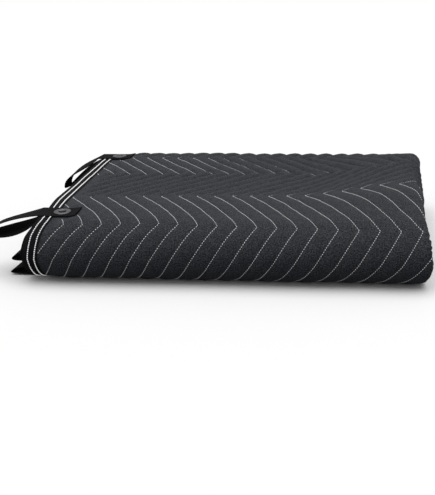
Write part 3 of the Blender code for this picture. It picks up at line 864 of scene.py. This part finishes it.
def make_end_tape(name, material, node, from_far_end):
    section = np.array(tape_section())
    rows = spread(TAPE_WIDTH + CLEAR, FOLD_START, 0.012)[:-1]
    rows += spread(FOLD_START, FOLD_END, 0.0012)
    rows = np.array(rows + spread(FOLD_END, CUT_WIDTH - TAPE_WIDTH - CLEAR, 0.012)[1:])
    edge, place = section.T
    u = np.repeat(rows[:, None], len(section), axis=1)
    edge = np.broadcast_to(edge[None, :], u.shape)
    s = CUT_LENGTH - edge if from_far_end else edge
    points = folded(u, s, place[None, :] + hem_middle(u, s))
    mesh = mesh_from(name, points.reshape(-1, 3), tube_faces(*u.shape))
    facing_out(mesh)
    flat = np.stack([s, u, 0 * s], axis=-1).reshape(-1, 3)
    return finish_piece(name, mesh, material, [node], flat)


def bezier(points, steps):
    """Points on a cubic curve after its first one."""
    t = np.arange(1, steps + 1)[:, None] / steps
    a, b, c, d = (np.array(point) for point in points)
    return a * (1 - t) ** 3 + b * 3 * t * (1 - t) ** 2 + c * 3 * t * t * (1 - t) + d * t ** 3


def loop_line(loop):
    """The webbing's middle line in (u, w) and its twist: outer leg, open loop past the edge, inner leg."""
    over = HEM_SHIFT + HEM_HALF + CLEAR + TAPE + CLEAR + WEBBING / 2
    under = HEM_SHIFT - HEM_HALF - CLEAR - TAPE - CLEAR - WEBBING / 2
    station = loop_station(loop)
    cloth_top = float(hem_middle(LEG_END_OUTER, station) + half_thickness(LEG_END_OUTER, station))
    end_over = max(over, cloth_top + CLEAR + WEBBING / 2)
    reach, droop, sag = loop["reach"], loop["droop"], loop["sag"]
    tip = (-reach, (over + under) / 2 - droop)
    out_over = (-LOOP_STRAIGHT, over)
    out_under = (-LOOP_STRAIGHT, under)
    upper = [out_over, (-0.45 * reach, over + loop["rise"]), (-reach, tip[1] + 0.45 * droop + 0.002), tip]
    lower = [tip, (-reach, tip[1] - 0.004), (-LOOP_STRAIGHT - 0.2 * reach, under - sag * 1.6), out_under]
    lift = end_over - over
    outer_leg = [(LEG_END_OUTER, end_over), (0.056, over + 0.7 * lift), (0.050, over + 0.15 * lift)]
    outer_leg += [(u, over) for u in np.arange(0.044, 0.0, -0.004)] + [out_over]
    inner_leg = [(u, under) for u in np.arange(-0.002, LEG_END_INNER, 0.006)] + [(LEG_END_INNER, under)]
    line = np.concatenate([outer_leg, bezier(upper, LOOP_STEPS), bezier(lower, LOOP_STEPS), inner_leg])
    counts = (len(outer_leg), LOOP_STEPS, LOOP_STEPS, len(inner_leg))
    twist = np.repeat((0.0, loop["upper_twist"], loop["lower_twist"], 0.0), counts)
    out = ramp(-line[:, 0], LOOP_STRAIGHT, reach)
    return line, twist * 4 * out * (1 - out)


def make_loop(loop, material):
    """Webbing swept along its line: a flat section with rounded edges, bent with the cloth below it."""
    line, twist = loop_line(loop)
    along = np.gradient(line, axis=0)
    along /= np.linalg.norm(along, axis=1, keepdims=True)
    normal = np.stack([-along[:, 1], along[:, 0]], axis=1)
    half, thick = WEBBING_WIDTH / 2, WEBBING / 2
    across = [half * share for share in (-0.96, -0.85, -0.6, -0.3, 0.0, 0.3, 0.6, 0.85, 0.96)]
    section = [(v, thick) for v in across] + [(half, 0.45 * thick), (half, -0.45 * thick)]
    section += [(v, -thick) for v in reversed(across)] + [(-half, -0.45 * thick), (-half, 0.45 * thick)]
    v, t = np.array(section).T
    travelled = np.concatenate([[0], np.cumsum(np.linalg.norm(np.diff(line, axis=0), axis=1))])
    u = line[:, 0][:, None] + normal[:, 0][:, None] * t[None, :]
    w = line[:, 1][:, None] + normal[:, 1][:, None] * t[None, :] + twist[:, None] * v[None, :] / half
    s = loop_station(loop) + np.broadcast_to(v[None, :], u.shape)
    name = f"strap_{loop['name']}"
    mesh = mesh_from(name, resting(folded(u, s, w)).reshape(-1, 3), tube_faces(*u.shape))
    facing_out(mesh)
    flat = np.stack(np.broadcast_arrays(v[None, :], travelled[:, None], 0 * u), axis=-1)
    node = f"loop_{loop['name']}"
    return finish_piece(name, mesh, material, [node], flat.reshape(-1, 3))


def make_grommet(loop, material):
    """A turned grommet with rolled rims, set through tape, hem and strap."""
    s, u, r = loop_station(loop), GROMMET_FROM_EDGE, GROMMET_RADIUS
    middle = (folded(u, s - r, HEM_SHIFT) + folded(u, s + r, HEM_SHIFT)) / 2
    forward = folded(u, s + r, HEM_SHIFT) - folded(u, s - r, HEM_SHIFT)
    right = folded(u + r, s, HEM_SHIFT) - folded(u - r, s, HEM_SHIFT)
    up = np.cross(right, forward)
    up /= np.linalg.norm(up)
    right /= np.linalg.norm(right)
    forward = np.cross(up, right)
    taller = (folded(u, s, PLY / 2) - folded(u, s, -PLY / 2))[2] / PLY
    under_rim = (HEM_HALF + CLEAR + TAPE + CLEAR + WEBBING + CLEAR) * taller
    hole, wall = GROMMET_HOLE_RADIUS, GROMMET_WALL
    bulge = [(0.0, 0.0), (0.05, 0.55), (0.22, 0.95), (0.5, 1.15), (0.78, 0.95), (0.93, 0.55), (1.0, 0.0)]
    rim = [(hole + (r - hole) * share, under_rim + wall * high) for share, high in bulge]
    lower = [(radius, -z) for radius, z in reversed(rim)]
    inside = [(hole + wall, -under_rim + 0.0001), (hole + wall, under_rim - 0.0001)]
    profile = rim + [(r - 0.0006, under_rim - 0.0001)] + inside[::-1]
    profile += [(r - 0.0006, -under_rim + 0.0001)] + lower
    points = []
    for i in range(GROMMET_STEPS):
        angle = math.tau * i / GROMMET_STEPS
        aside = math.cos(angle) * right + math.sin(angle) * forward
        points.append([middle + aside * radius + up * z for radius, z in profile])
    ring = len(profile)
    faces = []
    for i in range(GROMMET_STEPS):
        for j in range(ring):
            a, b = i * ring, ((i + 1) % GROMMET_STEPS) * ring
            faces.append((a + j, b + j, b + (j + 1) % ring, a + (j + 1) % ring))
    name = f"eyelet_{loop['name']}"
    mesh = mesh_from(name, np.array(points).reshape(-1, 3), faces)
    facing_out(mesh)
    return finish_piece(name, mesh, material, [f"grommet_{loop['name']}"])


def cut_hole(piece, loop):
    """Opens a piece where a grommet passes through it."""
    middle = folded(GROMMET_FROM_EDGE, loop_station(loop), HEM_SHIFT)
    radius = GROMMET_HOLE_RADIUS + 0.001
    bm = bmesh.new()
    bmesh.ops.create_cone(bm, cap_ends=True, segments=24, depth=0.024, radius1=radius, radius2=radius)
    bmesh.ops.translate(bm, verts=bm.verts[:], vec=Vector(middle))
    mesh = bpy.data.meshes.new("hole_cutter")
    bm.to_mesh(mesh)
    bm.free()
    cutter = bpy.data.objects.new("hole_cutter", mesh)
    bpy.context.scene.collection.objects.link(cutter)
    cut = piece.modifiers.new("hole", "BOOLEAN")
    cut.operation = "DIFFERENCE"
    cut.object = cutter
    bpy.context.view_layer.update()
    graph = bpy.context.evaluated_depsgraph_get()
    applied = bpy.data.meshes.new_from_object(piece.evaluated_get(graph))
    piece.modifiers.clear()
    old = piece.data
    piece.data = applied
    bpy.data.meshes.remove(old)
    bpy.data.objects.remove(cutter)


def add_stage():
    """A floor that looks white and throws back less light, as dark surroundings would."""
    material, nodes, links = new_material("floor")
    surface = nodes["Principled BSDF"]
    surface.inputs["Roughness"].default_value = 1.0
    surface.inputs["Specular IOR Level"].default_value = 0.0
    rays = add_node(nodes, "ShaderNodeLightPath")
    seen = rays.outputs["Is Camera Ray"]
    colour = mixed_colour(nodes, links, seen, FLOOR_BOUNCE_COLOUR, FLOOR_SEEN_COLOUR, 0.0, 1.0)
    links.new(colour, surface.inputs["Base Color"])
    bm = bmesh.new()
    bmesh.ops.create_grid(bm, x_segments=2, y_segments=2, size=60)
    mesh = bpy.data.meshes.new("floor")
    bm.to_mesh(mesh)
    bm.free()
    mesh.materials.append(material)
    floor = bpy.data.objects.new("floor", mesh)
    bpy.context.scene.collection.objects.link(floor)


def add_sun(name, strength, spread_degrees, towards):
    """A wide soft light whose rays run along a direction."""
    light = bpy.data.lights.new(name, "SUN")
    light.energy = strength
    light.angle = math.radians(spread_degrees)
    item = bpy.data.objects.new(name, light)
    item.rotation_euler = Vector(towards).to_track_quat("-Z", "Y").to_euler()
    bpy.context.scene.collection.objects.link(item)


def add_light():
    world = bpy.data.worlds.new("studio")
    world.use_nodes = True
    nodes, links = world.node_tree.nodes, world.node_tree.links
    background = nodes["Background"]
    background.inputs["Color"].default_value = (1.0, 1.0, 1.0, 1)
    rays = add_node(nodes, "ShaderNodeLightPath")
    strength = add_node(nodes, "ShaderNodeMapRange", To_Min=SKY_LIGHT, To_Max=SKY_SEEN)
    links.new(rays.outputs["Is Camera Ray"], strength.inputs["Value"])
    links.new(strength.outputs["Result"], background.inputs["Strength"])
    bpy.context.scene.world = world
    add_sun("overhead", SUN_STRENGTH, SUN_SPREAD, SUN_TOWARDS)
    bpy.context.scene.view_settings.view_transform = "Standard"
    bpy.context.scene.view_settings.look = "None"
    bpy.context.scene.view_settings.exposure = 0.0


def add_camera():
    data = bpy.data.cameras.new("camera")
    data.sensor_fit = "VERTICAL"
    data.sensor_height = SENSOR
    data.sensor_width = SENSOR
    data.lens = SENSOR * FOCAL_PIXELS / FRAME_HEIGHT_PIXELS
    data.clip_end = 200.0
    camera = bpy.data.objects.new("camera", data)
    bpy.context.scene.collection.objects.link(camera)
    az, el, roll = CAMERA_AZIMUTH, CAMERA_ELEVATION, CAMERA_ROLL
    back = Vector((math.sin(az) * math.cos(el), -math.cos(az) * math.cos(el), math.sin(el)))
    level = Vector((math.cos(az), math.sin(az), 0))
    upright = back.cross(level)
    right = math.cos(roll) * level + math.sin(roll) * upright
    up = -math.sin(roll) * level + math.cos(roll) * upright
    turned = Matrix((right, up, back)).transposed().to_4x4()
    camera.matrix_world = Matrix.Translation(Vector(CAMERA_PLACE)) @ turned
    bpy.context.scene.camera = camera


def main():
    add_camera()
    add_light()
    add_stage()
    tape, webbing, metal = tape_material(), webbing_material(), metal_material()
    # Both threads carry a painted glow, the hem thread's the stronger, brightening them beyond their lit
    # colour
    white = thread_material("quilting_thread", (0.85, 0.85, 0.84), 0.10)
    bright = thread_material("hem_thread", (0.93, 0.93, 0.92), 0.35)
    cloth = make_cloth(cloth_material())
    loop_edge = make_side_tape("tape_loop_edge", tape, "binding_loop_edge", False)
    sewing = {
        "quilting_top": quilting_stitches(on_top),
        "quilting_folds": quilting_stitches(at_folds),
        "quilting_back": quilting_stitches(at_low_back),
    }
    seams = {"hem_seam_loop_edge": hem_stitches(False), "hem_seam_plain_edge": hem_stitches(True)}
    pieces = [
        loop_edge,
        make_side_tape("tape_plain_edge", tape, "binding_plain_edge", True),
        make_end_tape("tape_outer_end", tape, "binding_outer_end", False),
        make_end_tape("tape_inner_end", tape, "binding_inner_end", True),
    ]
    for name, places in sewing.items():
        pieces.append(make_stitches(name, *places, cloth_face, THREAD_RADIUS, white, "quilted_cloth"))
    for name, places in seams.items():
        pieces.append(make_stitches(name, *places, tape_face, HEM_THREAD_RADIUS, bright, "binding_tape"))
    for loop in LOOPS:
        strap = make_loop(loop, webbing)
        pieces.append(strap)
        if loop["grommet"]:
            cut_hole(strap, loop)
            cut_hole(loop_edge, loop)
            pieces.append(make_grommet(loop, metal))


main()
